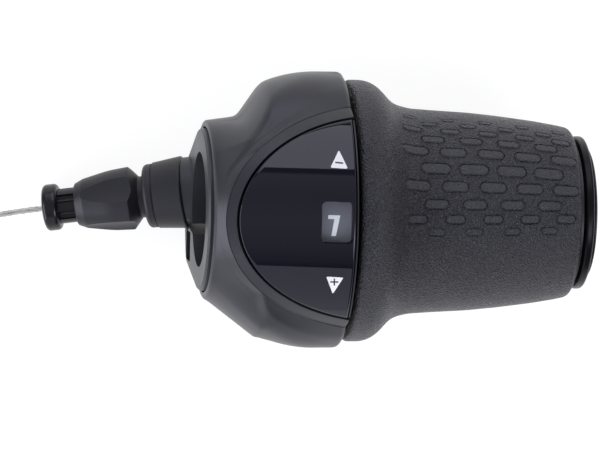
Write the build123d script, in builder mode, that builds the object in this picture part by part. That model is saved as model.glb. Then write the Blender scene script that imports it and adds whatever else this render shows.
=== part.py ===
"""Twist grip shifter for a bicycle's hub gear, clamped on a straight handlebar.

+X runs along the handlebar towards its end and +Z is the way the display faces.
The origin is on the bar's axis, at the inner end of the clamp.
"""

import os
from math import acos, asin, cos, degrees, pi, radians, sin, tan

from build123d import *

os.makedirs("parts", exist_ok=True)

ON_BASE = (Align.CENTER, Align.CENTER, Align.MIN)

# Fits between pieces
running_gap = 0.08
press_gap = 0.05
assembly_gap = 0.3
end_gap = 0.4
ring_clearance = 0.6

# Handlebar clamp and the base's tube
bar_diameter = 22.2
clamp_slack = 0.05
collar_wall = 4.65
collar_length = 11.0
collar_edge = 0.8
ear_radius = 3.9
ear_drop = 1.9
ear_offset = 8.7
boss_radius = 6.8
split_width = 1.8
split_offset = 4.6
split_tilt = 8.0
plate_thickness = 2.0
tube_relief = 0.25
tube_wall = 1.1

# Clamp bolt and nut
bolt_setback = 4.4
bolt_radius = 2.0
bolt_head_radius = 3.5
bolt_head_height = 3.0
bolt_socket = 1.73
bolt_socket_depth = 1.8
nut_width = 7.0
nut_height = 2.4
thread_window = 5.8
thread_window_height = 6.5

# Turning stack on the grip's sleeve
gear_count = 8
gear_step = 18.0
gear_at_rest = 7
sleeve_wall = 1.82
spring_room = 1.6
index_thickness = 1.8
index_rim = 2.75
notch_radius = 0.9
reel_width = 3.6
reel_floor = 0.55
reel_rim = 2.95
number_width = 6.4
number_wall = 0.8
number_web = 1.0
number_gap = 0.4

# Click spring
spring_strip = 0.5
spring_width = 2.0
spring_half_length = 9.0
spring_foot = 3.2
nose_radius = 0.6
nose_round = 0.3
leaf_bend = 1.0
leaf_tip_bend = 0.4
rivet_radius = 0.7
rivet_head_radius = 1.3
rivet_head_height = 0.5

# Housing cover
neck_start = 0.9
neck_wall = 0.9
neck_rise = 0.9
neck_setback = 4.7
shoulder_length = 4.6
shoulder_rise = 6.6
drum_height = 10.9
crown_setback = 4.9
rim_gap = 0.8
rim_edge = 1.3
skirt_depth = 2.0
skirt_cut_setback = 1.6
skirt_cut_side = 11.6
skirt_cut_height = 14.0
skirt_cut_normal = (0.156, -0.652, 0.741)
back_wall = 2.4
back_wall_start = 3.6
back_arc = 200.0

# Display
display_length = 28.0
display_margin = 7.1
display_reach = 22.2
display_tilt = 14.0
display_drop = 0.2
lens_thickness = 1.8
lens_gap = 0.35
ledge_width = 2.3
ledge_sink = 0.15
floor_wall = 1.0
pad_draft = 0.6
window_margin = 0.4
window_half_width = 4.6

# Cover screws
screw_radius = 1.0
screw_head_radius = 2.0
screw_head_height = 0.8
screw_length = 3.4
screw_seat = 0.6
screw_x = 4.6
screw_angles = (-16.0, 186.0)

# Grip
grip_length = 44.2
flare_radius = 25.4
flare_length = 4.6
waist_start = 9.0
waist_radius = 20.6
middle_start = 20.8
middle_radius = 19.4
taper_start = 32.3
taper_radius = 18.5
tip_radius = 16.4
waist_round = 3.0
middle_round = 40.0
tip_round = 1.0
rubber_wrap = 1.8
flange_thickness = 2.0
tip_inset = 0.4

# End of the tube
thrust_thickness = 1.0
thrust_rim = 1.4
washer_thickness = 1.8
washer_rim = 2.4
clip_thickness = 0.5
clip_depth = 0.45
clip_rim = 0.9
clip_opening = 40.0
tube_lip = 0.4

# Cable adjuster, along its own axis
adjuster_root_x = -0.3
adjuster_root_y = 1.7
adjuster_root_drop = 2.9
adjuster_slope = 14.2
adjuster_skew = 8.6
spigot_radius = 3.9
spigot_length = 2.0
holder_length = 8.0
holder_root_radius = 7.2
holder_tip_radius = 6.3
holder_edge = 1.75
seam_depth = 0.2
seam_width = 0.3
holder_root_round = 0.5
screw_thread_radius = 3.0
screw_inner_end = -0.8
screw_outer_end = 17.0
stem_radius = 4.1
stem_start = 7.2
stem_room = 1.4
knob_start = 9.1
knob_length = 12.9
knob_radius = 6.25
knob_belly_radius = 5.95
knob_belly = 5.9
knob_shoulder_radius = 4.9
knob_shoulder = 1.8
knob_nose_radius = 4.1
knob_chamfer = 1.9
knob_root_round = 0.3
knob_edge_round = 0.4
knob_belly_round = 20.0
knob_nose_round = 0.5
flute_count = 4
flute_phase = 24.0
flute_radius = 8.4
flute_depth = 0.85
flute_lift = 3.0
flute_length = 14.0
plug_radius = 3.5
plug_insert = 4.5
plug_show = 3.3
plug_flange_radius = 4.6
plug_flange_length = 3.1
plug_flange_round = 0.9
plug_groove_count = 6
plug_groove_radius = 0.9

# Gear wire
wire_radius = 0.6
wire_bore = 1.0
guide_bend = 4.0
guide_lead = 4.5
guide_clearance = 2.1
guide_angle = 8.8
entry_bend = 6.0
entry_depth = 4.5
guide_half_width = 3.8
guide_depth = 2.1
wound_gap_angle = 8.0
nipple_radius = 1.9
nipple_length = 3.0
nipple_lead_angle = 123.0
lug_radius = 2.5
wire_straight = 9.5
wire_middle = Vector(-47.2, -5.4, -28.95)
wire_at_coil = Vector(-56.5, -6.4, -29.25)
bend_share = 0.45
coil_ring_radius = 14.5
coil_section = 7.0
coil_section_round = 3.0

# Radii that follow from the bar outwards
clamp_radius = bar_diameter / 2 + clamp_slack
collar_radius = clamp_radius + collar_wall
tube_bore = clamp_radius + tube_relief
tube_radius = tube_bore + tube_wall
sleeve_bore = tube_radius + running_gap
sleeve_radius = sleeve_bore + sleeve_wall
hub_bore = sleeve_radius + press_gap
index_radius = hub_bore + index_rim
reel_radius = hub_bore + reel_rim
wound_radius = hub_bore + reel_floor + wire_radius
neck_inner_radius = collar_radius + assembly_gap
neck_radius = neck_inner_radius + neck_wall
drum_radius = collar_radius + drum_height
tool_reach = 6 * drum_radius

# Places along the bar
plate_face = collar_length + plate_thickness
sleeve_start = plate_face + end_gap
index_start = plate_face + spring_room
reel_start = index_start + index_thickness
reel_end = reel_start + reel_width
reel_middle = reel_start + reel_width / 2
number_start = reel_end + end_gap
number_end = number_start + number_width
rim_x = number_end + ring_clearance
grip_start = rim_x + rim_gap
grip_end = grip_start + grip_length
sleeve_end = grip_end - tip_inset
thrust_start = sleeve_end + assembly_gap / 2
washer_start = thrust_start + thrust_thickness + assembly_gap / 2
clip_start = washer_start + washer_thickness
tube_end = clip_start + clip_thickness + tube_lip

# The display's surface is a cylinder whose axis rises towards the rim
lens_top = drum_radius - display_drop
display_axis = Plane(
    origin=(rim_x, 0, 0),
    x_dir=(0, 1, 0),
    z_dir=(cos(radians(display_tilt)), 0, sin(radians(display_tilt))),
)
lens_radius = lens_top * cos(radians(display_tilt))
display_center_x = rim_x - display_reach + display_length
display_half_width = drum_radius - display_margin


def lens_height(x):
    """Height of the lens over the bar's axis, along its middle."""
    return lens_top - (rim_x - x) * tan(radians(display_tilt))


def cavity_radius(x):
    """Inside radius of the cover, just under the display's floor."""
    return lens_height(x) - lens_thickness - floor_wall


def number_radius(x):
    """Outside radius of the number ring, which slopes with the display."""
    return cavity_radius(x) - number_gap


plate_radius = cavity_radius(collar_length) - assembly_gap

# Adjuster axis, pointing out of the part
adjuster_dir = Vector(
    -cos(radians(adjuster_slope)) * cos(radians(adjuster_skew)),
    -cos(radians(adjuster_slope)) * sin(radians(adjuster_skew)),
    -sin(radians(adjuster_slope)),
)
adjuster_root = Vector(adjuster_root_x, adjuster_root_y, -collar_radius - adjuster_root_drop)
adjuster_plane = Plane(origin=adjuster_root, x_dir=(0, 1, 0), z_dir=adjuster_dir)


def on_adjuster(distance):
    """Point on the adjuster's axis, at a distance out from its root."""
    return adjuster_root + adjuster_dir * distance


boss_center = on_adjuster(adjuster_root_x / -adjuster_dir.X)
ear_z = -collar_radius - ear_drop
knob_end = knob_start + knob_length
plug_flange_start = knob_end + plug_show
plug_end = plug_flange_start + plug_flange_length

# Route of the wire, from the reel's guide to the plug's face
guide_radius = reel_radius + guide_clearance
guide_corner = Vector(
    reel_middle,
    guide_radius * sin(radians(guide_angle)),
    -guide_radius * cos(radians(guide_angle)),
)
tangent_angle = radians(guide_angle) + acos(wound_radius / guide_radius)
guide_end = guide_corner + Vector(0, cos(tangent_angle), sin(tangent_angle)) * guide_lead
entry_corner = on_adjuster(-entry_depth)
wire_exit = on_adjuster(plug_end)

with BuildLine() as wire_route:
    FilletPolyline(
        guide_end, guide_corner, entry_corner, wire_exit, radius=[guide_bend, entry_bend]
    )


def clamp_outline(extra):
    """Section of the clamp: collar, cable boss and bolt ear in one outline."""
    with BuildSketch(Plane.YZ) as outline:
        Circle(collar_radius + extra)
        with Locations((boss_center.Y, boss_center.Z)):
            Circle(boss_radius + extra)
        with Locations((-ear_offset, ear_z)):
            Circle(ear_radius + extra)
        make_hull()
    return outline.sketch


def display_outline(extra, height=0.0):
    """Outline of the display seen from above: an ellipse cut off at the rim."""
    with BuildSketch(Plane.XY.offset(height)) as outline:
        with Locations((display_center_x, 0)):
            Ellipse(display_length + extra, display_half_width + extra)
        with Locations((rim_x, 0)):
            Rectangle(
                3 * display_length,
                4 * display_half_width,
                align=(Align.MIN, Align.CENTER),
                mode=Mode.SUBTRACT,
            )
    return outline.sketch


def wire_section(radius):
    """Round section at the start of the wire's route."""
    start = Plane(origin=wire_route.line @ 0, z_dir=wire_route.line % 0)
    with BuildSketch(start) as section:
        Circle(radius)
    return section.sketch


# Base bracket: split clamp, back plate and the tube that the grip turns on
with BuildPart() as base_bracket:
    extrude(to_extrude=clamp_outline(0), amount=collar_length)
    chamfer(base_bracket.faces().sort_by(Axis.X)[0].edges(), collar_edge / 2)
    with Locations(adjuster_plane.offset(-entry_depth)):
        Cylinder(boss_radius, entry_depth, align=ON_BASE)
    with Locations(Plane.YZ.offset(collar_length)):
        Cylinder(plate_radius, plate_thickness, align=ON_BASE)
    with Locations(Plane.YZ.offset(collar_length)):
        Cylinder(tube_radius, tube_end - collar_length, align=ON_BASE)
    with Locations(Plane.YZ.offset(-boss_radius)):
        Cylinder(clamp_radius, plate_face + boss_radius, align=ON_BASE, mode=Mode.SUBTRACT)
    with Locations(Plane.YZ.offset(plate_face)):
        Cylinder(tube_bore, tube_end - plate_face, align=ON_BASE, mode=Mode.SUBTRACT)
    with BuildSketch(Plane.XY):
        with Locations((clip_start + clip_thickness / 2, tube_radius)):
            Rectangle(clip_thickness, 2 * clip_depth)
    revolve(axis=Axis.X, mode=Mode.SUBTRACT)
    with Locations((0, -split_offset, -clamp_radius)):
        Box(
            2 * collar_length,
            split_width,
            3 * collar_wall + 2 * boss_radius,
            rotation=(split_tilt, 0, 0),
            mode=Mode.SUBTRACT,
        )
    with Locations(adjuster_plane):
        Cylinder(
            holder_root_radius + assembly_gap, holder_length, align=ON_BASE, mode=Mode.SUBTRACT
        )
    with Locations(adjuster_plane.offset(-spigot_length)):
        Cylinder(spigot_radius + press_gap, spigot_length, align=ON_BASE, mode=Mode.SUBTRACT)
    sweep(sections=wire_section(wire_bore), path=wire_route.line, mode=Mode.SUBTRACT)

# Clamp bolt, across the split
bolt_x = collar_length - bolt_setback
bolt_plane = Plane(origin=(bolt_x, 0, ear_z), x_dir=(1, 0, 0), z_dir=(0, -1, 0))
head_seat = ear_offset + ear_radius
split_at_ear = split_offset + (ear_z + clamp_radius) * tan(radians(split_tilt))
nut_top = split_at_ear - split_width
with BuildPart() as clamp_bolt:
    with Locations(bolt_plane.offset(nut_top - nut_height)):
        Cylinder(bolt_radius, head_seat - nut_top + nut_height, align=ON_BASE)
    with Locations(bolt_plane.offset(head_seat)):
        Cylinder(bolt_head_radius, bolt_head_height, align=ON_BASE)
    chamfer(clamp_bolt.edges().filter_by(GeomType.CIRCLE).sort_by(Axis.Y)[0], collar_edge / 2)
    with BuildSketch(bolt_plane.offset(head_seat + bolt_head_height)):
        RegularPolygon(bolt_socket, 6)
    extrude(amount=-bolt_socket_depth, mode=Mode.SUBTRACT)

with BuildPart() as clamp_nut:
    with BuildSketch(bolt_plane.offset(nut_top - nut_height)):
        RegularPolygon(nut_width / 2, 6, major_radius=False, rotation=30)
        Circle(bolt_radius + press_gap, mode=Mode.SUBTRACT)
    extrude(amount=nut_height)

# Seats for the bolt and its nut, and the window in the ear that shows the thread
with BuildPart() as bolt_seats:
    with Locations(bolt_plane.offset(nut_top - nut_height - press_gap)):
        Cylinder(bolt_radius + press_gap, 4 * ear_offset, align=ON_BASE)
    with Locations(bolt_plane.offset(head_seat)):
        Cylinder(bolt_head_radius + assembly_gap, 4 * ear_radius, align=ON_BASE)
    with BuildSketch(bolt_plane.offset(nut_top - nut_height - press_gap)):
        RegularPolygon(nut_width / 2 + press_gap, 6, major_radius=False, rotation=30)
        with Locations((0, -nut_width)):
            Rectangle(nut_width + 2 * press_gap, 2 * nut_width)
    extrude(amount=nut_height + 2 * press_gap)
    with Locations((0, -ear_offset, ear_z - bolt_radius - press_gap)):
        Box(2 * bolt_x, thread_window, thread_window_height, align=ON_BASE)

with base_bracket:
    add(bolt_seats.part, mode=Mode.SUBTRACT)

# Display lens and the tools that shape the cover around it
with BuildPart() as display_lens:
    extrude(to_extrude=display_outline(0), amount=2 * drum_radius)
    with Locations(display_axis):
        Cylinder(lens_radius, tool_reach, mode=Mode.INTERSECT)
    with Locations(display_axis):
        Cylinder(lens_radius - lens_thickness, tool_reach, mode=Mode.SUBTRACT)

with BuildPart() as display_pad:
    pad_low = neck_inner_radius - neck_rise
    pad_high = pad_low + drum_height
    pad_edge = lens_height(rim_x - display_reach - ledge_width)
    loft(
        sections=[
            display_outline(ledge_width + (pad_edge - pad_low) * pad_draft, pad_low).face(),
            display_outline(ledge_width + (pad_edge - pad_high) * pad_draft, pad_high).face(),
        ]
    )
    with Locations(display_axis):
        Cylinder(lens_radius - ledge_sink, tool_reach, mode=Mode.INTERSECT)
    split(bisect_by=Plane.YZ.offset(neck_start), keep=Keep.TOP)

with BuildPart() as display_ledge:
    extrude(to_extrude=display_outline(ledge_width), amount=2 * drum_radius)
    with Locations(display_axis):
        Cylinder(lens_radius - ledge_sink, tool_reach, mode=Mode.SUBTRACT)

with BuildPart() as display_recess:
    extrude(to_extrude=display_outline(lens_gap), amount=2 * drum_radius)
    with Locations(display_axis):
        Cylinder(lens_radius - lens_thickness - press_gap, tool_reach, mode=Mode.SUBTRACT)

# Skirt: a cone between neck and drum, on the lower side only
skirt_point = (neck_start + skirt_cut_setback, -skirt_cut_side, skirt_cut_height)
with BuildPart() as cover_skirt:
    with BuildSketch(Plane.XY):
        with BuildLine():
            Polyline(
                (neck_start, neck_inner_radius),
                (neck_start, neck_radius),
                (collar_length, drum_radius - skirt_depth),
                (collar_length + skirt_depth, drum_radius - skirt_depth),
                (collar_length + skirt_depth, neck_inner_radius),
                close=True,
            )
        make_face()
    revolve(axis=Axis.X)
    split(bisect_by=Plane(origin=skirt_point, z_dir=skirt_cut_normal), keep=Keep.BOTTOM)
    split(bisect_by=Plane(origin=(0, -ear_radius, 0), z_dir=(0, -1, 0)), keep=Keep.TOP)

# Housing cover: neck, shoulder and drum in one shell
neck_end = neck_start + collar_length - neck_setback
shoulder_end = neck_end + shoulder_length
crown_x = rim_x - crown_setback
crown_span = crown_x - shoulder_end
crown_rise = drum_radius - neck_radius - neck_rise - shoulder_rise
crown_bend = (crown_span**2 + crown_rise**2) / (2 * crown_rise)
with BuildPart() as housing_cover:
    with BuildSketch(Plane.XY) as cover_profile:
        with BuildLine():
            Polyline(
                (crown_x, drum_radius),
                (rim_x, drum_radius),
                (rim_x, sleeve_radius),
                (neck_start, sleeve_radius),
                (neck_start, neck_radius),
                (neck_end, neck_radius + neck_rise),
                (shoulder_end, neck_radius + neck_rise + shoulder_rise),
            )
            RadiusArc(
                (shoulder_end, neck_radius + neck_rise + shoulder_rise),
                (crown_x, drum_radius),
                crown_bend,
            )
        make_face()
        fillet(cover_profile.vertices().sort_by_distance((rim_x, drum_radius))[0], rim_edge)
        fillet(cover_profile.vertices().sort_by_distance((neck_start, neck_radius))[0], neck_wall / 2)
        fillet(cover_profile.vertices().sort_by_distance((neck_end, neck_radius))[0], neck_wall)
    revolve(axis=Axis.X)
    add(cover_skirt.part)
    add(display_pad.part)
    add(display_ledge.part, mode=Mode.SUBTRACT)
    add(display_recess.part, mode=Mode.SUBTRACT)
    with BuildSketch(Plane.XY):
        with BuildLine():
            Polyline(
                (-neck_start, tube_radius),
                (-neck_start, neck_inner_radius),
                (collar_length - assembly_gap, neck_inner_radius),
                (collar_length - assembly_gap, plate_radius + assembly_gap / 2),
                (plate_face, plate_radius + assembly_gap / 2),
                (plate_face, cavity_radius(plate_face)),
                (rim_x + rim_gap, cavity_radius(rim_x + rim_gap)),
                (rim_x + rim_gap, tube_radius),
                close=True,
            )
        make_face()
    revolve(axis=Axis.X, mode=Mode.SUBTRACT)
    with BuildSketch(Plane.XY.rotated((270 - back_arc / 2, 0, 0))):
        with BuildLine():
            Polyline(
                (plate_face, hub_bore),
                (plate_face, drum_radius - back_wall_start),
                (reel_end, drum_radius - back_wall),
                (rim_x + rim_gap, drum_radius - back_wall),
                (rim_x + rim_gap, hub_bore),
                close=True,
            )
        make_face()
    revolve(axis=Axis.X, revolution_arc=back_arc, mode=Mode.SUBTRACT)
    extrude(
        to_extrude=clamp_outline(assembly_gap),
        amount=collar_length + assembly_gap,
        mode=Mode.SUBTRACT,
    )
    add(bolt_seats.part, mode=Mode.SUBTRACT)
    sweep(sections=wire_section(wire_bore), path=wire_route.line, mode=Mode.SUBTRACT)
    with Locations(((number_start + number_end) / 2, 0, number_radius(number_start))):
        Box(
            number_width - 2 * window_margin,
            2 * window_half_width,
            drum_height,
            align=ON_BASE,
            mode=Mode.SUBTRACT,
        )

# Screws that hold the cover's neck to the collar
screw_planes = []
for angle in screw_angles:
    turned = Plane.XY.rotated((angle, 0, 0))
    foot = turned.y_dir * (neck_inner_radius + screw_seat - screw_length)
    screw_planes.append(Plane(origin=foot + Vector(screw_x, 0, 0), x_dir=(1, 0, 0), z_dir=turned.y_dir))

with BuildPart() as cover_screws:
    with Locations(*screw_planes):
        Cylinder(screw_radius, screw_length, align=ON_BASE)
    with Locations(*[plane.offset(screw_length) for plane in screw_planes]):
        Cylinder(screw_head_radius, screw_head_height, align=ON_BASE)
        Box(
            3 * screw_head_radius,
            screw_radius / 2,
            screw_head_height,
            align=ON_BASE,
            mode=Mode.SUBTRACT,
        )

with BuildPart() as screw_seats:
    with Locations(*screw_planes):
        Cylinder(screw_radius + press_gap, screw_length, align=ON_BASE)
    with Locations(*[plane.offset(screw_length) for plane in screw_planes]):
        Cylinder(screw_head_radius + assembly_gap / 2, drum_height, align=ON_BASE)

with base_bracket:
    add(screw_seats.part, mode=Mode.SUBTRACT)

with housing_cover:
    add(screw_seats.part, mode=Mode.SUBTRACT)

# Grip sleeve, with the flange that carries the rubber's flare
flange_radius = flare_radius - rubber_wrap
with BuildPart() as grip_sleeve:
    with Locations(Plane.YZ.offset(sleeve_start)):
        Cylinder(sleeve_radius, sleeve_end - sleeve_start, align=ON_BASE)
    with Locations(Plane.YZ.offset(grip_start)):
        Cylinder(flange_radius, flange_thickness, align=ON_BASE)
    with Locations(Plane.YZ.offset(sleeve_start)):
        Cylinder(sleeve_bore, sleeve_end - sleeve_start, align=ON_BASE, mode=Mode.SUBTRACT)

with BuildPart() as grip_rubber:
    with BuildSketch(Plane.XY):
        with BuildLine():
            outer = FilletPolyline(
                (grip_start, flange_radius + press_gap),
                (grip_start, flare_radius),
                (grip_start + flare_length, flare_radius),
                (grip_start + waist_start, waist_radius),
                (grip_start + middle_start, middle_radius),
                (grip_start + taper_start, taper_radius),
                (grip_end, tip_radius),
                (grip_end, hub_bore),
                radius=[
                    rubber_wrap / 2,
                    2 * rubber_wrap,
                    waist_round,
                    middle_round,
                    middle_round,
                    tip_round,
                ],
            )
            Polyline(
                outer @ 1,
                (grip_start + flange_thickness + press_gap, hub_bore),
                (grip_start + flange_thickness + press_gap, flange_radius + press_gap),
                outer @ 0,
            )
        make_face()
    revolve(axis=Axis.X)

# Rings that turn with the sleeve
with BuildPart() as index_ring:
    with Locations(Plane.YZ.offset(index_start)):
        Cylinder(index_radius, index_thickness, align=ON_BASE)
        Cylinder(hub_bore, index_thickness, align=ON_BASE, mode=Mode.SUBTRACT)
    with Locations(Plane.YZ.offset(index_start)):
        with PolarLocations(
            hub_bore,
            gear_count,
            start_angle=(gear_at_rest - gear_count) * gear_step,
            angular_range=(gear_count - 1) * gear_step,
            endpoint=True,
        ):
            Cylinder(
                notch_radius,
                4 * index_rim,
                rotation=(0, 90, 0),
                mode=Mode.SUBTRACT,
            )

nipple_angle = degrees(tangent_angle) - 90 + nipple_lead_angle
nipple_plane = Plane.XY.rotated((nipple_angle, 0, 0))
nipple_center = nipple_plane.y_dir * wound_radius + Vector(reel_middle, 0, 0)
nipple_axis = Plane(origin=nipple_center, x_dir=(0, 1, 0), z_dir=(1, 0, 0))
with BuildPart() as cable_reel:
    with Locations(Plane.YZ.offset(reel_start)):
        Cylinder(reel_radius, reel_width, align=ON_BASE)
    with Locations(nipple_axis.offset(-reel_width / 2)):
        Cylinder(lug_radius, reel_width, align=ON_BASE)
    with BuildSketch(Plane.XY):
        with Locations((reel_middle, wound_radius - wire_radius)):
            Rectangle(
                2 * (wire_radius + assembly_gap),
                drum_height,
                align=(Align.CENTER, Align.MIN),
            )
    revolve(axis=Axis.X, mode=Mode.SUBTRACT)
    with Locations(nipple_axis.offset(-nipple_length / 2)):
        Cylinder(nipple_radius + press_gap, reel_width, align=ON_BASE, mode=Mode.SUBTRACT)
    with Locations(Plane.YZ.offset(reel_start)):
        Cylinder(hub_bore, reel_width, align=ON_BASE, mode=Mode.SUBTRACT)

with BuildPart() as cable_nipple:
    with Locations(nipple_axis.offset(-nipple_length / 2)):
        Cylinder(nipple_radius, nipple_length, align=ON_BASE)
    with Locations(Plane.YZ.offset(reel_start)):
        Cylinder(hub_bore, reel_width, align=ON_BASE, mode=Mode.SUBTRACT)

wound_start = degrees(tangent_angle) - 90 + wound_gap_angle
wound_end = nipple_angle - degrees(asin((nipple_radius + press_gap) / wound_radius))
with BuildPart() as wound_wire:
    with BuildSketch(Plane.XY.rotated((wound_start, 0, 0))):
        with Locations((reel_middle, wound_radius)):
            Circle(wire_radius)
    revolve(axis=Axis.X, revolution_arc=wound_end - wound_start)

web_start = number_end - number_web
with BuildPart() as number_ring:
    with BuildSketch(Plane.XY):
        with BuildLine():
            Polyline(
                (number_start, number_radius(number_start) - number_wall),
                (number_start, number_radius(number_start)),
                (number_end, number_radius(number_end)),
                (number_end, hub_bore),
                (web_start, hub_bore),
                (web_start, number_radius(web_start) - number_wall),
                close=True,
            )
        make_face()
    revolve(axis=Axis.X)

# Click spring: a leaf on the plate whose nose sits in a notch of the index ring
spring_y = (hub_bore + index_radius) / 2
nose_top = index_start + notch_radius - assembly_gap
with BuildPart() as index_spring:
    with BuildSketch(Plane.XZ.offset(-spring_y - spring_width / 2)) as leaf:
        with BuildLine():
            top = FilletPolyline(
                (plate_face + spring_strip, -spring_half_length),
                (plate_face + spring_strip, spring_foot - spring_half_length),
                (index_start - spring_strip, -2 * nose_radius),
                (nose_top, -nose_radius / 2),
                (nose_top, nose_radius / 2),
                (index_start - spring_strip, 2 * nose_radius),
                (plate_face + spring_strip, spring_half_length - spring_foot),
                radius=[leaf_bend, leaf_tip_bend, nose_round, nose_round, leaf_tip_bend],
            )
            Polyline(
                top @ 1,
                (plate_face, spring_half_length - spring_foot),
                (index_start - 2 * spring_strip, nose_radius),
                (index_start - 2 * spring_strip, -nose_radius),
                (plate_face, spring_foot - spring_half_length),
                (plate_face, -spring_half_length),
                top @ 0,
            )
        make_face()
    extrude(amount=spring_width)
    with Locations(Plane.YZ.offset(plate_face)):
        with Locations((spring_y, spring_foot / 2 - spring_half_length)):
            Cylinder(rivet_radius + press_gap, 2 * spring_strip, mode=Mode.SUBTRACT)

rivet_plane = Plane.YZ.offset(plate_face - plate_thickness / 2)
rivet_spot = (spring_y, spring_foot / 2 - spring_half_length)
with BuildPart() as spring_rivet:
    with Locations(rivet_plane):
        with Locations(rivet_spot):
            Cylinder(rivet_radius, plate_thickness / 2 + spring_strip, align=ON_BASE)
    with Locations(Plane.YZ.offset(plate_face + spring_strip)):
        with Locations(rivet_spot):
            Cylinder(rivet_head_radius, rivet_head_height, align=ON_BASE)

with base_bracket:
    with Locations(rivet_plane):
        with Locations(rivet_spot):
            Cylinder(rivet_radius + press_gap, plate_thickness, align=ON_BASE, mode=Mode.SUBTRACT)

# Cable guide: a block on the plate that turns the wire on to the reel
with BuildPart() as cable_guide:
    with BuildSketch(Plane.YZ.offset(plate_face)):
        with Locations((guide_corner.Y, guide_corner.Z)):
            RectangleRounded(2 * guide_half_width, 2 * guide_depth, guide_depth / 2)
        Circle(reel_radius + assembly_gap, mode=Mode.SUBTRACT)
    extrude(amount=reel_end - plate_face)
    with BuildSketch(Plane.YZ.offset(plate_face)):
        with Locations((guide_corner.Y, guide_corner.Z)):
            Rectangle(
                2 * guide_half_width,
                2 * guide_depth,
                align=(Align.CENTER, Align.MIN),
            )
        Circle(sleeve_radius + assembly_gap, mode=Mode.SUBTRACT)
    extrude(amount=spring_room - assembly_gap)
    sweep(sections=wire_section(wire_bore), path=wire_route.line, mode=Mode.SUBTRACT)

# Washers and clip at the outer end of the tube
with BuildPart() as thrust_washer:
    with Locations(Plane.YZ.offset(thrust_start)):
        Cylinder(tube_radius + thrust_rim, thrust_thickness, align=ON_BASE)
        Cylinder(tube_radius + press_gap, thrust_thickness, align=ON_BASE, mode=Mode.SUBTRACT)

with BuildPart() as end_washer:
    with Locations(Plane.YZ.offset(washer_start)):
        Cylinder(tube_radius + washer_rim, washer_thickness, align=ON_BASE)
        Cylinder(tube_radius + press_gap, washer_thickness, align=ON_BASE, mode=Mode.SUBTRACT)
    rim_edges = end_washer.edges().filter_by(GeomType.CIRCLE).group_by(SortBy.RADIUS)[-1]
    fillet(rim_edges, washer_thickness / 3)

clip_inner = tube_radius - clip_depth + press_gap
with BuildPart() as retaining_ring:
    with BuildSketch(Plane.XY.rotated((clip_opening / 2, 0, 0))):
        with Locations((clip_start, clip_inner)):
            Rectangle(
                clip_thickness - press_gap,
                tube_radius + clip_rim - clip_inner,
                align=(Align.MIN, Align.MIN),
            )
    revolve(axis=Axis.X, revolution_arc=360 - clip_opening)

# Cable adjuster: holder, screw, knob and the plug in the knob's end
with BuildPart() as adjuster_holder:
    with BuildSketch(Plane.XZ):
        with BuildLine():
            FilletPolyline(
                (screw_thread_radius + running_gap, -spigot_length),
                (spigot_radius, -spigot_length),
                (spigot_radius, 0),
                (holder_root_radius, 0),
                (holder_tip_radius + seam_depth, holder_length - holder_edge - seam_width),
                (holder_tip_radius - seam_depth, holder_length - holder_edge - seam_width),
                (holder_tip_radius - seam_depth, holder_length - holder_edge),
                (holder_tip_radius, holder_length - holder_edge),
                (holder_tip_radius, holder_length),
                (stem_radius + running_gap, holder_length),
                (stem_radius + running_gap, stem_start - stem_room),
                (screw_thread_radius + running_gap, stem_start - stem_room),
                radius=[0, 0, holder_root_round, 0, 0, 0, 0, holder_edge / 2, 0, 0],
            )
            Line(
                (screw_thread_radius + running_gap, stem_start - stem_room),
                (screw_thread_radius + running_gap, -spigot_length),
            )
        make_face()
    revolve(axis=Axis.Z)

with BuildPart() as adjusting_bolt:
    with Locations((0, 0, screw_inner_end)):
        Cylinder(screw_thread_radius, screw_outer_end - screw_inner_end, align=ON_BASE)
        Cylinder(wire_bore, screw_outer_end - screw_inner_end, align=ON_BASE, mode=Mode.SUBTRACT)
    chamfer(adjusting_bolt.edges().filter_by(GeomType.CIRCLE).group_by(Axis.Z)[0][-1], press_gap)

with BuildPart() as adjuster_knob:
    with BuildSketch(Plane.XZ):
        with BuildLine():
            FilletPolyline(
                (screw_thread_radius + press_gap, stem_start),
                (stem_radius, stem_start),
                (stem_radius, knob_start),
                (knob_radius, knob_start + knob_chamfer),
                (knob_belly_radius, knob_start + knob_belly),
                (knob_shoulder_radius, knob_end - knob_shoulder),
                (knob_nose_radius, knob_end),
                (plug_radius + running_gap, knob_end),
                (plug_radius + running_gap, screw_outer_end),
                (screw_thread_radius + press_gap, screw_outer_end),
                radius=[
                    0,
                    knob_root_round,
                    knob_edge_round,
                    knob_belly_round,
                    knob_edge_round,
                    knob_nose_round,
                    0,
                    0,
                ],
            )
            Line(
                (screw_thread_radius + press_gap, screw_outer_end),
                (screw_thread_radius + press_gap, stem_start),
            )
        make_face()
    revolve(axis=Axis.Z)
    with Locations((0, 0, knob_start)):
        with PolarLocations(
            knob_radius + flute_radius - flute_depth, flute_count, start_angle=flute_phase
        ):
            Cylinder(
                flute_radius,
                flute_length,
                rotation=(0, -flute_lift, 0),
                align=ON_BASE,
                mode=Mode.SUBTRACT,
            )

with BuildPart() as casing_plug:
    with BuildSketch(Plane.XZ):
        with BuildLine():
            FilletPolyline(
                (wire_bore, knob_end - plug_insert),
                (plug_radius, knob_end - plug_insert),
                (plug_radius, plug_flange_start),
                (plug_flange_radius, plug_flange_start),
                (plug_flange_radius, plug_end),
                (wire_bore, plug_end),
                radius=[0, 0, plug_flange_round, plug_flange_round],
            )
            Line((wire_bore, plug_end), (wire_bore, knob_end - plug_insert))
        make_face()
    revolve(axis=Axis.Z)
    with Locations((0, 0, knob_end - plug_insert)):
        with PolarLocations(plug_radius, plug_groove_count):
            Cylinder(
                plug_groove_radius,
                plug_insert + plug_show,
                align=ON_BASE,
                mode=Mode.SUBTRACT,
            )

# Gear wire: through the part, then free to its coil
with BuildPart() as inner_wire:
    sweep(sections=wire_section(wire_radius), path=wire_route.line)

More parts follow.
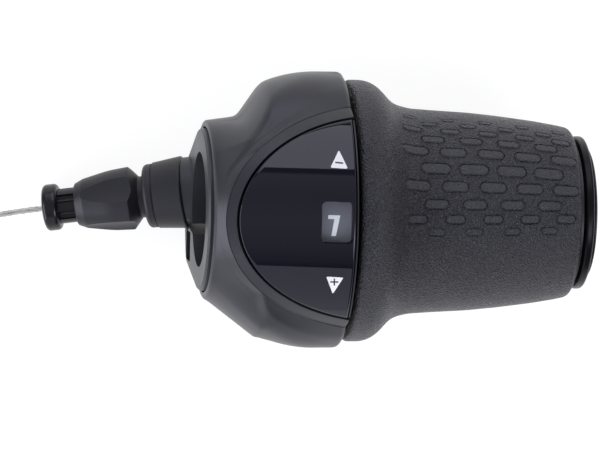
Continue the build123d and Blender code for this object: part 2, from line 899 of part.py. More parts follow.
run_points = [wire_exit, on_adjuster(plug_end + wire_straight), wire_middle, wire_at_coil]


def bend_radii(points):
    """Largest even bend at each inner point of a route."""
    radii = []
    for before, here, after in zip(points, points[1:], points[2:]):
        turn = radians((here - before).get_angle(after - here))
        shorter = min((here - before).length, (after - here).length)
        radii.append(bend_share * shorter / tan(turn / 2))
    return radii


run_radii = bend_radii(run_points)
with BuildLine() as run_route:
    FilletPolyline(*run_points, radius=run_radii)

with BuildPart() as wire_run:
    with BuildSketch(Plane(origin=run_route.line @ 0, z_dir=run_route.line % 0)):
        Circle(wire_radius)
    sweep(path=run_route.line)

coil_center = wire_at_coil + Vector(0, coil_ring_radius, coil_section / 2 - wire_radius)
with BuildPart() as wire_coil:
    with BuildSketch(Plane(origin=coil_center, x_dir=(1, 0, 0), z_dir=(0, -1, 0))):
        with Locations((coil_ring_radius, 0)):
            RectangleRounded(coil_section, coil_section, coil_section_round)
    revolve(axis=Axis(coil_center, (0, 0, 1)))

print("wire run radii", [round(radius, 1) for radius in run_radii])
run_tube = pi * wire_radius**2 * run_route.wire().length
print("wire run volume over section times length", round(wire_run.part.volume / run_tube, 4))

# The adjuster's turned pieces are drawn upright, then set on their axis
for turned_piece in (adjuster_holder, adjusting_bolt, adjuster_knob, casing_plug):
    turned_piece.part = adjuster_plane.location * turned_piece.part

pieces = {
    "base_bracket": base_bracket,
    "clamp_bolt": clamp_bolt,
    "clamp_nut": clamp_nut,
    "housing_cover": housing_cover,
    "cover_screws": cover_screws,
    "display_lens": display_lens,
    "number_ring": number_ring,
    "grip_sleeve": grip_sleeve,
    "grip_rubber": grip_rubber,
    "index_ring": index_ring,
    "index_spring": index_spring,
    "spring_rivet": spring_rivet,
    "cable_reel": cable_reel,
    "cable_nipple": cable_nipple,
    "wound_wire": wound_wire,
    "cable_guide": cable_guide,
    "thrust_washer": thrust_washer,
    "end_washer": end_washer,
    "retaining_ring": retaining_ring,
    "adjuster_holder": adjuster_holder,
    "adjusting_bolt": adjusting_bolt,
    "adjuster_knob": adjuster_knob,
    "casing_plug": casing_plug,
    "inner_wire": inner_wire,
    "wire_run": wire_run,
    "wire_coil": wire_coil,
}
for name, piece in pieces.items():
    piece.part.label = name
    export_step(piece.part, f"parts/{name}.step")
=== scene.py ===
"""Twist grip shifter for a hub gear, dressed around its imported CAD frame.

Objects are in metres in the CAD frame, with +X along the handlebar towards its end and +Z the way that the
display faces. The sizes of pieces are written in millimetres, and MM turns them into metres.
"""

import math

import bmesh
import bpy
import numpy as np
from mathutils import Matrix, Vector


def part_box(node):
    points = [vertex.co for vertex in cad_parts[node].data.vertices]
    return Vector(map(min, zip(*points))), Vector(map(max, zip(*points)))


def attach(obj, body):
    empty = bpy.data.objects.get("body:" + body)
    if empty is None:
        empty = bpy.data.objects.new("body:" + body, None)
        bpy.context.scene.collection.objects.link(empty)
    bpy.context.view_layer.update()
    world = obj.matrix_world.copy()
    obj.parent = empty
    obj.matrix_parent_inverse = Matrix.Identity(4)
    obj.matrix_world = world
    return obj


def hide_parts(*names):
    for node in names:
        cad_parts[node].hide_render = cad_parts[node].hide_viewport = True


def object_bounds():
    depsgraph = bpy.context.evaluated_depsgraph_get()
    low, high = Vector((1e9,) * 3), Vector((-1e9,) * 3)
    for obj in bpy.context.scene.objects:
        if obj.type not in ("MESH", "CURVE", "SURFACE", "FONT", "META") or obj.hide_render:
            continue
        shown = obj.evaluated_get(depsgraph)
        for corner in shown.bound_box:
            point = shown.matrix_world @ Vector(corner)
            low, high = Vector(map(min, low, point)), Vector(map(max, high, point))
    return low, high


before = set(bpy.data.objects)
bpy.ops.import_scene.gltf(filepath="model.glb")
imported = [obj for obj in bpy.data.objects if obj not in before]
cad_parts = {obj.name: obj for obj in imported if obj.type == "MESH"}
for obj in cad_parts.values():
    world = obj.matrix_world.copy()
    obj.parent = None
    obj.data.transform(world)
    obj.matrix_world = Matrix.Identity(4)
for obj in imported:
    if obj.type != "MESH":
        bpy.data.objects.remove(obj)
cad_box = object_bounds()
MM = 0.001


# Base bracket: the fixed core of the shifter, with the handlebar clamp, the back plate and the long tube.
# It is injection moulded in one shot of glass-filled nylon, with a fine matt grain from the mould.
def shader(name):
    """New material with its node tree, its Principled shader and the piece's own coordinates."""
    material = bpy.data.materials.new(name)
    material.use_nodes = True
    tree = material.node_tree
    principled = tree.nodes["Principled BSDF"]
    place = tree.nodes.new("ShaderNodeTexCoord").outputs["Object"]
    return material, tree, principled, place


def noise(tree, place, scale, detail=2.0, roughness=0.5):
    """Noise texture over the piece, its scale in features per metre."""
    node = tree.nodes.new("ShaderNodeTexNoise")
    node.inputs["Scale"].default_value = scale
    node.inputs["Detail"].default_value = detail
    node.inputs["Roughness"].default_value = roughness
    tree.links.new(place, node.inputs["Vector"])
    return node.outputs["Fac"]


def ramp(tree, value, low, high, from_low=0.3, from_high=0.7):
    """Map a texture's value to a range."""
    node = tree.nodes.new("ShaderNodeMapRange")
    node.inputs["From Min"].default_value = from_low
    node.inputs["From Max"].default_value = from_high
    node.inputs["To Min"].default_value = low
    node.inputs["To Max"].default_value = high
    tree.links.new(value, node.inputs["Value"])
    return node.outputs["Result"]


def shade(tree, value, dark, light):
    """Mix two colours by a texture's value."""
    node = tree.nodes.new("ShaderNodeMix")
    node.data_type = "RGBA"
    node.inputs["A"].default_value = (*dark, 1.0)
    node.inputs["B"].default_value = (*light, 1.0)
    tree.links.new(value, node.inputs["Factor"])
    return node.outputs["Result"]


def relief(tree, value, depth, below=None):
    """Bump of a given depth in metres, on top of another bump if there is one."""
    node = tree.nodes.new("ShaderNodeBump")
    node.inputs["Strength"].default_value = 1.0
    node.inputs["Distance"].default_value = depth
    tree.links.new(value, node.inputs["Height"])
    if below is not None:
        tree.links.new(below, node.inputs["Normal"])
    return node.outputs["Normal"]


cool_sheen = (0.90, 0.90, 1.0, 1.0)
tone_drift = 0.14
gloss_drift = 0.04


def moulded(name, color, roughness, grain=3200.0, depth=0.00002, cloud=55.0, shine=0.5):
    """Moulded plastic: a fine grain, and a slow drift of tone and gloss over the piece."""
    material, tree, principled, place = shader(name)
    principled.inputs["Specular IOR Level"].default_value = shine
    principled.inputs["Specular Tint"].default_value = cool_sheen
    drift = noise(tree, place, cloud, detail=3.0)
    dark = tuple((1 - tone_drift) * c for c in color)
    light = tuple((1 + tone_drift) * c for c in color)
    tree.links.new(shade(tree, ramp(tree, drift, 0.0, 1.0), dark, light), principled.inputs["Base Color"])
    gloss = ramp(tree, drift, roughness - gloss_drift, roughness + gloss_drift)
    tree.links.new(gloss, principled.inputs["Roughness"])
    skin = noise(tree, place, grain, detail=3.0, roughness=0.6)
    tree.links.new(relief(tree, skin, depth), principled.inputs["Normal"])
    return material


def dress(node, material):
    """Give a CAD node its finish."""
    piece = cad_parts[node]
    piece.data.materials.clear()
    piece.data.materials.append(material)


base_nylon = moulded("base_nylon", (0.021, 0.0215, 0.026), 0.42)
dress("base_bracket", base_nylon)

# Clamp bolt and nut: a socket-head steel bolt across the split of the clamp, and the nut in its slot.
# Both are zinc plated, as are the cover's screws, and the bolt's shank shows in the ear's window.
streak_scale = 400.0
streak_dark = 0.8
streak_gloss = 0.06


def plated_steel(name, color, roughness):
    """Plated or drawn steel with faint streaks."""
    material, tree, principled, place = shader(name)
    principled.inputs["Metallic"].default_value = 1.0
    drift = noise(tree, place, streak_scale, detail=4.0)
    dark = tuple(streak_dark * c for c in color)
    tree.links.new(shade(tree, ramp(tree, drift, 0.0, 1.0), dark, color), principled.inputs["Base Color"])
    gloss = ramp(tree, drift, roughness - streak_gloss, roughness + streak_gloss)
    tree.links.new(gloss, principled.inputs["Roughness"])
    return material


zinc = plated_steel("zinc_plate", (0.62, 0.62, 0.60), 0.32)
for node in ("clamp_bolt", "clamp_nut", "cover_screws"):
    dress(node, zinc)

# Click mechanism and reel, all inside: a notched steel ring, its leaf spring and rivet, and the acetal
# reel that winds the wire in, with the wire's cast nipple and the guide that leads the wire to the reel.
spring_steel = plated_steel("spring_steel", (0.50, 0.50, 0.51), 0.28)
for node in ("index_ring", "index_spring", "spring_rivet"):
    dress(node, spring_steel)
acetal = moulded("acetal", (0.34, 0.34, 0.33), 0.42)
for node in ("cable_reel", "cable_guide"):
    dress(node, acetal)
wire_steel = plated_steel("wire_steel", (0.66, 0.65, 0.62), 0.30)
for node in ("cable_nipple", "wound_wire", "inner_wire"):
    dress(node, wire_steel)

# Number ring: a ring on the grip's sleeve that turns behind the window and shows the gear in use.
# It is grey, and the eight numbers are pad-printed on that, one a click. Its end, where it shows in the gap
# between the housing and the grip, is painted black as shade for that gap.
ring_grey = (0.29, 0.30, 0.36)
gap_shade_black = (0.006, 0.006, 0.007)
gap_shade_edge = (26.5, 26.7)
ring_plastic = moulded("number_ring_plastic", ring_grey, 0.5)
tree = ring_plastic.node_tree
principled = tree.nodes["Principled BSDF"]
apart = tree.nodes.new("ShaderNodeSeparateXYZ")
tree.links.new(tree.nodes.new("ShaderNodeTexCoord").outputs["Object"], apart.inputs[0])
# Painted shade: past this edge the ring is black, so the gap between the housing and the grip reads dark.
gap_shade_mask = ramp(tree, apart.outputs["X"], 0.0, 1.0, gap_shade_edge[0] * MM, gap_shade_edge[1] * MM)
tree.links.new(shade(tree, gap_shade_mask, ring_grey, gap_shade_black), principled.inputs["Base Color"])
dress("number_ring", ring_plastic)
sharp_turn = 35.0


def put_mesh(name, points, faces, *materials, slots=None, sharp=sharp_turn):
    """New smooth piece from points in millimetres, sharp only where its faces turn by more than an angle."""
    mesh = bpy.data.meshes.new(name)
    mesh.from_pydata((np.asarray(points, float) * MM).tolist(), [], faces)
    for material in materials:
        mesh.materials.append(material)
    if slots is not None:
        mesh.polygons.foreach_set("material_index", slots)
    mesh.shade_smooth()
    mesh.set_sharp_from_angle(angle=math.radians(sharp))
    piece = bpy.data.objects.new(name, mesh)
    bpy.context.scene.collection.objects.link(piece)
    return piece


lens_tilt = math.radians(14.0)
ring_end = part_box("number_ring")[1] / MM
number_height = 4.0
number_narrow = 0.92
number_lift = 0.12
number_slant = -0.06
number_weight = 0.065
number_x = 23.16
number_drop = 0.83
gear_step = math.radians(18.0)
gear_count = 8
gear_shown = 7
seven_outline = ((-0.305, 0.5), (0.295, 0.5), (0.10, -0.5), (-0.13, -0.5), (0.0, 0.317), (-0.32, 0.317))
number_points = []
number_faces = []
for gear in range(1, gear_count + 1):
    # The seven that the window shows has an outline of its own, and the others are figures of Blender's font.
    if gear == gear_shown:
        spots = np.array(seven_outline)
        faces = [range(len(seven_outline))]
    else:
        writing = bpy.data.curves.new("number", "FONT")
        writing.body = str(gear)
        writing.shear = number_slant
        writing.offset = number_weight
        written = bpy.data.objects.new("number", writing)
        flat = bpy.data.meshes.new_from_object(written)
        bpy.data.objects.remove(written)
        spots = np.array([vertex.co[:2] for vertex in flat.vertices])
        faces = [face.vertices for face in flat.polygons]
    first = len(number_points)
    low, high = spots.min(axis=0), spots.max(axis=0)
    spots = (spots - (low + high) / 2) * number_height / (high[1] - low[1])
    for across, along in spots:
        x = number_x + number_narrow * across
        reach = ring_end.z - (ring_end.x - x) * math.tan(lens_tilt) + number_lift
        angle = (gear - gear_shown) * gear_step + (along - number_drop) / reach
        number_points.append((x, reach * math.sin(angle), reach * math.cos(angle)))
    number_faces += [[first + corner for corner in face] for face in faces]
# The numbers lie in the shade behind the window, so their ink has a painted glow, an emission that stands in
# for the light that the shade keeps off.
painted_ink_glow = 0.32
number_ink_painted_glow = moulded("number_ink_painted_glow", (0.88, 0.94, 0.99), 0.45, depth=0.0)
ink_shader = number_ink_painted_glow.node_tree.nodes["Principled BSDF"]
ink_shader.inputs["Emission Color"].default_value = (0.85, 0.92, 1.0, 1.0)
ink_shader.inputs["Emission Strength"].default_value = painted_ink_glow
gear_numbers = put_mesh("gear_numbers", number_points, number_faces, number_ink_painted_glow)
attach(gear_numbers, "grip")

# Housing cover: one moulding with the drum, its shoulder, the neck round the clamp and the raised bezel of
# the display. It is glass-filled nylon with a fine satin texture, and two screws hold its neck to the clamp.
rim_x = 27.4
neck_x = 0.9
neck_end = 7.2
shoulder_x = 11.8
crown_x = 22.5
neck_radii = (17.0, 17.9)
shoulder_radius = 24.5
drum_radius = 26.7
drum_inside = 24.2
lens_sink = 0.2
lens_radius = (drum_radius - lens_sink) * math.cos(lens_tilt)
lens_gap = 0.35
ledge_width = 2.3
ledge_sink = 0.10
ledge_lean = 0.17
display_center = 33.2
display_axes = (28.0, 19.6)
outline_steps = 12
first_guess = 2.0
deepest = -12.0


def soften(values, spacing, width):
    """Round the corners of an evenly sampled line."""
    reach = int(3 * width / spacing)
    kernel = np.exp(-0.5 * (np.arange(-reach, reach + 1) * spacing / width) ** 2)
    padded = np.concatenate((np.full(reach, values[0]), values, np.full(reach, values[-1])))
    return np.convolve(padded, kernel / kernel.sum(), mode="valid")


def larger(a, b, blend):
    """The larger of two heights, with a rounded valley between them."""
    overlap = np.maximum(blend - np.abs(a - b), 0.0)
    return np.maximum(a, b) + overlap**2 / (4 * blend)


def smaller(a, b, blend):
    """The smaller of two heights, with a rounded edge between them."""
    return -larger(-a, -b, blend)


def display_height(x, angle, sink):
    """Distance from the bar's axis to the display's tilted cylinder."""
    lean = np.cos(angle) * math.sin(lens_tilt)
    run = x - rim_x
    a = 1 - lean**2
    b = -2 * lean * math.cos(lens_tilt) * run
    c = (run * math.sin(lens_tilt)) ** 2 - (lens_radius - sink) ** 2
    return (np.sqrt(b * b - 4 * a * c) - b) / (2 * a)


def display_distance(x, y):
    """How far a point lies outside the display's outline, seen from above."""
    out = np.full(np.broadcast(x, y).shape, first_guess)
    for _ in range(outline_steps):
        long_axis = display_axes[0] + out
        short_axis = display_axes[1] + out
        value = ((x - display_center) / long_axis) ** 2 + (y / short_axis) ** 2 - 1
        slope = -2 * ((x - display_center) ** 2 / long_axis**3 + y**2 / short_axis**3)
        out = np.maximum(out - value / slope, deepest)
    return out


profile_step = 0.05
profile_soft = 0.65
profile_x = np.arange(neck_x - 3, rim_x + 3, profile_step)
crown_rise = drum_radius - shoulder_radius
crown_bend = ((crown_x - shoulder_x) ** 2 + crown_rise**2) / (2 * crown_rise)
crown_run = np.clip(profile_x - crown_x, shoulder_x - crown_x, 0)
profile_r = np.where(
    profile_x < shoulder_x,
    np.interp(profile_x, (neck_x, neck_end, shoulder_x), (*neck_radii, shoulder_radius)),
    drum_radius - crown_bend + np.sqrt(crown_bend**2 - crown_run**2),
)
profile_r = soften(profile_r, profile_step, profile_soft)
skirt_point = np.array((2.5, -11.6, 14.0))
skirt_normal = np.array((-0.42, -0.50, 0.757))
skirt_end = 11.0
skirt_radius = drum_radius - 2.0
skirt_blend = 1.0
skirt_sine = -0.1
least_facing = 0.05
brow_radius = 23.6
brow_ends = (44.0, 78.0)
bezel_slope = 0.66
bezel_bend = 0.01
bezel_blend = 1.2
blend_run = 1.8
blend_limits = (0.05, 1.6)
far_outside = 30.0
lip_rise = 0.13
lip_width = 0.1
flank_slope = 0.25
flank_bend = 0.07
valley_depths = (1.0, 0.1)
valley_width = 1.7
valley_ends = (11.0, 19.5)


def cover_height(x, angle):
    """Outside of the cover, at a place along the bar and an angle from the display's middle."""
    plain = np.interp(x, profile_x, profile_r)
    sine, cosine = np.sin(angle), np.cos(angle)
    cone = np.interp(x, (neck_x, skirt_end), (neck_radii[0], skirt_radius))
    facing = skirt_normal[1] * sine + skirt_normal[2] * cosine
    limit = (skirt_normal @ skirt_point - skirt_normal[0] * x) / np.maximum(facing, least_facing)
    cone = np.where(facing > least_facing, smaller(cone, limit, skirt_blend), cone)
    brow = np.interp(x, (neck_x, skirt_end), (neck_radii[0], brow_radius))
    brow = plain + np.interp(np.degrees(angle), brow_ends, (1.0, 0.0)) * np.maximum(brow - plain, 0.0)
    plain = larger(plain, np.where(sine < skirt_sine, cone, brow), skirt_blend)
    ledge = display_height(x, angle, ledge_sink)
    beyond = display_distance(x, ledge * sine)
    beyond = np.where(cosine > least_facing, beyond, far_outside) - ledge_width
    ledge = ledge - ledge_lean * np.clip(beyond + ledge_width - lens_gap, 0.0, ledge_width - lens_gap)
    lip = ledge + lip_rise * np.clip(beyond / lip_width, 0.0, 1.0)
    away = np.maximum(beyond - lip_width, 0.0)
    blend = np.clip(away / blend_run, *blend_limits)
    bezel = lip - bezel_slope * away - bezel_bend * away**2
    dip = np.clip(away / valley_width, 0.0, 1.0)
    dip *= np.interp(x, valley_ends, (1.0, 0.0)) * np.where(sine > 0, *valley_depths) * dip * (3 - 2 * dip)
    flank = lip - dip + flank_slope * away + flank_bend * away**2
    around = smaller(larger(plain, bezel, np.minimum(blend, bezel_blend)), flank, blend)
    return np.where(beyond > 0, around, ledge)


density_samples = 4001


def spaced(count, density):
    """Steps from 0 to 1, closer together where a density says so."""
    fine = np.linspace(0, 1, density_samples)
    total = np.concatenate(((0,), np.cumsum(density((fine[1:] + fine[:-1]) / 2))))
    return np.interp(np.linspace(0, total[-1], count), total, fine)


cover_columns = 500
display_turn = 40.0
corner_turn = 51.9
corner_spread = 6.0


def cover_density(share):
    """How close the cover's columns lie to each other: closest at the corners of the display."""
    turn = np.abs(share * 360 - 180)
    corners = np.exp(-(((turn - corner_turn) / corner_spread) ** 2))
    return 1 + 2 * (turn < display_turn) + 5 * corners


cover_angles = np.radians(spaced(cover_columns + 1, cover_density)[:-1] * 360 - 180)
display_side = 0.3
halvings = 40


def run_up(distance):
    """How far along the bar each line of the cover goes before it is that near to the display."""
    near_x = np.zeros_like(cover_angles)
    far_x = np.full_like(cover_angles, rim_x)
    for _ in range(halvings):
        middle_x = (near_x + far_x) / 2
        ledge = display_height(middle_x, cover_angles, ledge_sink)
        outside = display_distance(middle_x, ledge * np.sin(cover_angles)) > distance
        outside |= np.cos(cover_angles) < display_side
        near_x = np.where(outside, middle_x, near_x)
        far_x = np.where(outside, far_x, middle_x)
    return far_x


def crowded(count, start, stop, reach):
    """Steps from 0 to 1, closer together towards both ends."""
    return spaced(count, lambda t: 1 + start * np.exp(-t / reach) + stop * np.exp((t - 1) / reach))


rim_margin = 0.01
least_ledge = 0.45
least_lip = 0.06
wall_rows = 78
wall_crowd = 0.03
ledge_rows = 24
ledge_crowd = 0.1
end_x = run_up(lens_gap)
at_rim = end_x > rim_x - rim_margin
crease_x = np.minimum(run_up(ledge_width), end_x - least_ledge)
lip_x = np.minimum(run_up(ledge_width + lip_width), crease_x - least_lip)
wall_share = crowded(wall_rows, 4, 7, wall_crowd)
ledge_share = crowded(ledge_rows, 2, 3, ledge_crowd)
grid_x = np.vstack((
    neck_x + (lip_x - neck_x) * wall_share[:, None],
    (lip_x + crease_x) / 2,
    crease_x + (end_x - crease_x) * ledge_share[:, None],
))
grid_r = cover_height(grid_x, cover_angles[None, :])
edge_turns = (50.0, 58.0)
edge_rounds = (0.3, 1.2)
edge_round = np.interp(np.abs(np.degrees(cover_angles)), edge_turns, edge_rounds)
past_edge = np.clip(grid_x - (end_x - edge_round)[None, :], 0, edge_round[None, :])
grid_r -= edge_round - np.sqrt(edge_round**2 - past_edge**2)
neck_round = 0.5
before_neck = np.clip(neck_x + neck_round - grid_x, 0, neck_round)
grid_r -= neck_round - np.sqrt(neck_round**2 - before_neck**2)
foot_sink = 2.0
wall_foot = np.where(at_rim, drum_inside, display_height(end_x, cover_angles, foot_sink))
front_x = (10.6, 11.0, rim_x)
front_r = (16.1, 19.4, 23.5)
back_x = (10.6, 11.0, 13.0, 20.0, rim_x)
back_r = (16.1, 19.4, 22.8, drum_inside, drum_inside)
front_cosine = 0.2


def cavity_height(x, angle):
    """Inside of the cover, shallower in front, under the display."""
    front = np.interp(x, front_x, front_r)
    back = np.interp(x, back_x, back_r)
    return np.where(np.cos(angle) > front_cosine, front, back)


inner_rows = 22
least_wall = 0.05
inner_share = np.linspace(1, 0, inner_rows)
inner_x = neck_x + (end_x[None, :] - neck_x) * inner_share[:, None]
inner_r = np.minimum(cavity_height(inner_x, cover_angles[None, :]), wall_foot[None, :] - least_wall)
rows_x = np.vstack((grid_x, end_x[None, :], inner_x))
rows_r = np.vstack((grid_r, wall_foot[None, :], inner_r))


def polar_points(x, r, angles):
    """Points of a grid of places along the bar and distances from it, one column an angle."""
    turned = np.broadcast_to(angles[None, :], x.shape)
    return np.stack((x, r * np.sin(turned), r * np.cos(turned)), axis=-1).reshape(-1, 3)


def grid_faces(rows, columns, close_rows=True):
    """Quads of a grid whose columns go all the way round, and whose rows may too."""
    faces = []
    for row in range(rows if close_rows else rows - 1):
        below, above = row * columns, (row + 1) % rows * columns
        for column in range(columns):
            after = (column + 1) % columns
            faces.append((below + column, above + column, above + after, below + after))
    return faces


housing_plastic = moulded("housing_plastic", (0.0150, 0.0153, 0.0195), 0.37)
housing_shell = put_mesh(
    "housing_shell",
    polar_points(rows_x, rows_r, cover_angles),
    grid_faces(len(rows_x), len(cover_angles)),
    housing_plastic,
)
bore_sides = 48


def round_ends(start, stop, radius):
    """Points round both ends of a straight bore."""
    start, stop = Vector(start), Vector(stop)
    turn = (stop - start).to_track_quat("Z", "Y")
    spots = []
    for middle in (start, stop):
        for angle in np.linspace(0, 2 * math.pi, bore_sides, endpoint=False):
            spots.append(middle + turn @ Vector((radius * math.cos(angle), radius * math.sin(angle), 0.0)))
    return spots


def cut_away(piece, spots):
    """Cut from a piece the space that some points enclose."""
    shape = bmesh.new()
    for spot in spots:
        shape.verts.new(spot * MM)
    hull = bmesh.ops.convex_hull(shape, input=shape.verts[:])
    inside = hull["geom_interior"] + hull["geom_unused"]
    loose = {vertex for vertex in inside if isinstance(vertex, bmesh.types.BMVert)}
    bmesh.ops.delete(shape, geom=list(loose), context="VERTS")
    mesh = bpy.data.meshes.new("cutter")
    shape.to_mesh(mesh)
    shape.free()
    cutter = bpy.data.objects.new("cutter", mesh)
    bpy.context.scene.collection.objects.link(cutter)
    cut = piece.modifiers.new("cut", "BOOLEAN")
    cut.operation = "DIFFERENCE"
    cut.solver = "EXACT"
    cut.object = cutter
    result = bpy.data.meshes.new_from_object(piece.evaluated_get(bpy.context.evaluated_depsgraph_get()))
    piece.modifiers.clear()
    bpy.data.objects.remove(cutter)
    piece.data = result
    result.set_sharp_from_angle(angle=math.radians(sharp_turn))


notch_ends = (-2.0, 11.3)
notch_circles = ((0.0, 0.0, 15.4), (1.745, -18.62, 7.1), (-8.7, -17.7, 4.2))
notch = []
for y, z, radius in notch_circles:
    notch += round_ends((notch_ends[0], y, z), (notch_ends[1], y, z), radius)
cut_away(housing_shell, notch)
bolt_x, bolt_z = 6.6, -17.7
bolt_seat_ends = (-12.6, -32.0)
bolt_seat_radius = 3.8
foot, mouth = [(bolt_x, y, bolt_z) for y in bolt_seat_ends]
cut_away(housing_shell, round_ends(foot, mouth, bolt_seat_radius))
screw_x = 4.6
screw_facings = ((0.961, -0.276), (-0.9945, -0.1045))
screw_seat_ends = (16.7, 30.0)
screw_seat_radius = 2.15
for y, z in screw_facings:
    foot, mouth = [(screw_x, reach * y, reach * z) for reach in screw_seat_ends]
    cut_away(housing_shell, round_ends(foot, mouth, screw_seat_radius))
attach(housing_shell, "base")
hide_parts("housing_cover")

# Display lens: a thick lens of clear acrylic, painted black behind all but a window, pressed into the bezel.
# It lies on a seat that is part of the housing. The two marks, which say which way the gears go, are printed.
window_center = np.array((23.42, 0.0))
window_half = (2.92, 3.95)
window_round = 0.9
window_reach = 8.0
lens_side = 26.95
curve_points = 261
straight_points = 121


def display_outline(extra, side):
    """Outline of the display seen from above, with its straight side at a place along the bar."""
    long_axis, short_axis = display_axes[0] + extra, display_axes[1] + extra
    limit = math.acos((display_center - side) / long_axis)
    turns = np.linspace(limit, -limit, curve_points)
    curve = np.stack((display_center - long_axis * np.cos(turns), short_axis * np.sin(turns)), axis=-1)
    straight = np.linspace(curve[-1], curve[0], straight_points)[1:-1]
    return np.vstack((curve, straight))


def window_outline(directions):
    """Points where rays from the window's middle meet its rounded outline."""
    near = np.zeros(len(directions))
    far = np.full(len(directions), window_reach)
    core = np.array(window_half) - window_round
    for _ in range(halvings):
        middle = (near + far) / 2
        spots = np.abs(directions * middle[:, None])
        past = np.linalg.norm(np.maximum(spots - core, 0), axis=1) > window_round
        far = np.where(past, middle, far)
        near = np.where(past, near, middle)
    return window_center + directions * near[:, None]


def on_display(plan, sink):
    """Lift points seen from above on to the display's tilted cylinder, or one sunk below it."""
    run = plan[..., 0] - rim_x
    lean, rise = math.cos(lens_tilt), math.sin(lens_tilt)
    across = np.sqrt((lens_radius - sink) ** 2 - plan[..., 1] ** 2)
    height = (across + run * rise) / lean
    return np.concatenate((plan, height[..., None]), axis=-1)


top_shares = np.linspace(0, 1, 34)
edge_steps = np.radians((15, 30, 45, 60, 75, 90))
under_shares = (0, 0.3, 0.6, 1)
pane_shares = (0.8, 0.6, 0.4, 0.2, 0.05)


def display_slab(extra, side, top, bottom, edge, side_edge, pane):
    """Points, quads and slots of a slab with the display's outline, its window a pane or a hole."""
    outline = display_outline(extra, side)
    rays = outline - window_center
    window = window_outline(rays / np.linalg.norm(rays, axis=1)[:, None])
    inner = display_outline(extra - edge, side - side_edge)
    count = len(outline)
    loops = [on_display(window + (inner - window) * t, top) for t in top_shares]
    for turn in edge_steps:
        drop = side_edge * (1 - math.cos(turn))
        loops.append(on_display(inner + (outline - inner) * math.sin(turn), top + drop))
    loops += [on_display(outline + (window - outline) * t, bottom) for t in under_shares]
    faces = grid_faces(len(loops), count, close_rows=not pane)
    slots = [0] * len(faces)
    if pane:
        rim = (len(loops) - 1) * count
        for sink, start in ((top, 0), (bottom, rim)):
            shrunk = [window_center + (window - window_center) * t for t in pane_shares]
            first = sum(len(loop) for loop in loops)
            loops += [on_display(plan, sink) for plan in shrunk]
            rings = [start] + [first + i * count for i in range(len(shrunk))]
            for low, high in zip(rings, rings[1:]):
                for j in range(count):
                    after = (j + 1) % count
                    quad = (low + j, low + after, high + after, high + j)
                    faces.append(quad if sink == top else quad[::-1])
                    slots.append(1)
            cap = tuple(rings[-1] + j for j in range(count))
            faces.append(cap if sink == top else cap[::-1])
            slots.append(1)
    return np.vstack(loops), faces, slots


lens_black = moulded("lens_black", (0.0018, 0.0016, 0.0060), 0.04, depth=0.0)
lens_clear, _, principled, _ = shader("lens_clear")
principled.inputs["Base Color"].default_value = (0.05, 0.05, 0.06, 1.0)
principled.inputs["Roughness"].default_value = 0.05
principled.inputs["Alpha"].default_value = 0.08
lens_depth = 1.8
lens_edge = 0.2
lens_drop = 0.55
lens_points, lens_faces, lens_slots = display_slab(
    0.0, lens_side, 0.0, lens_depth, lens_edge, lens_drop, pane=True
)
lens = put_mesh("lens", lens_points, lens_faces, lens_black, lens_clear, slots=lens_slots, sharp=50.0)
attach(lens, "base")
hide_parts("display_lens")
seat_top = 1.9
seat_bottom = 2.8
seat_edge = 0.1
seat_points, seat_faces, _ = display_slab(
    lens_gap, rim_x, seat_top, seat_bottom, seat_edge, seat_edge, pane=False
)
lip_half = 18.9
lip_columns = 81
lip_y = np.linspace(-lip_half, lip_half, lip_columns)
lip_section = ((27.05, 2.7), (27.05, 0.42), (27.12, 0.33), (27.28, 0.33), (27.38, 0.45), (27.38, 2.7))
lip_rows = [on_display(np.stack((np.full_like(lip_y, x), lip_y), axis=-1), sink) for x, sink in lip_section]
first = len(seat_points)
for row in range(len(lip_section)):
    below, above = first + row * lip_columns, first + (row + 1) % len(lip_section) * lip_columns
    seat_faces += [(below + i, below + i + 1, above + i + 1, above + i) for i in range(lip_columns - 1)]
lip_start = [first + row * lip_columns for row in range(len(lip_section))]
lip_end = [corner + lip_columns - 1 for corner in reversed(lip_start)]
seat_faces += [lip_start, lip_end]
lens_seat = put_mesh("lens_seat", np.vstack((seat_points, *lip_rows)), seat_faces, housing_plastic)
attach(lens_seat, "base")
print_rows = 30
print_margin = 0.004


def printed(name, shapes, lift, ink):
    """Thin print on the lens: convex shapes seen from above, laid over its curve row by row."""
    points = []
    faces = []
    for shape in shapes:
        shape = np.array(shape)
        first = len(points)
        levels = np.linspace(shape[:, 1].min(), shape[:, 1].max(), print_rows)
        for y in np.clip(levels, levels[0] + print_margin, levels[-1] - print_margin):
            crossings = []
            for start, stop in zip(shape, np.roll(shape, -1, axis=0)):
                if (start[1] - y) * (stop[1] - y) < 0:
                    crossings.append(start[0] + (stop[0] - start[0]) * (y - start[1]) / (stop[1] - start[1]))
            points += on_display(np.array(((min(crossings), y), (max(crossings), y))), -lift).tolist()
        pairs = range(first, first + 2 * (print_rows - 1), 2)
        faces += [(start, start + 1, start + 3, start + 2) for start in pairs]
    print_piece = put_mesh(name, points, faces, ink)
    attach(print_piece, "base")


def rounded(corners, radius):
    """Outline of a polygon whose corners are rounded off."""
    outline = []
    for i, corner in enumerate(corners):
        corner = Vector(corner)
        start = corner + (Vector(corners[i - 1]) - corner).normalized() * radius
        stop = corner + (Vector(corners[(i + 1) % len(corners)]) - corner).normalized() * radius
        for t in (0, 0.25, 0.5, 0.75, 1):
            outline.append(tuple((1 - t) ** 2 * start + 2 * t * (1 - t) * corner + t * t * stop))
    return outline


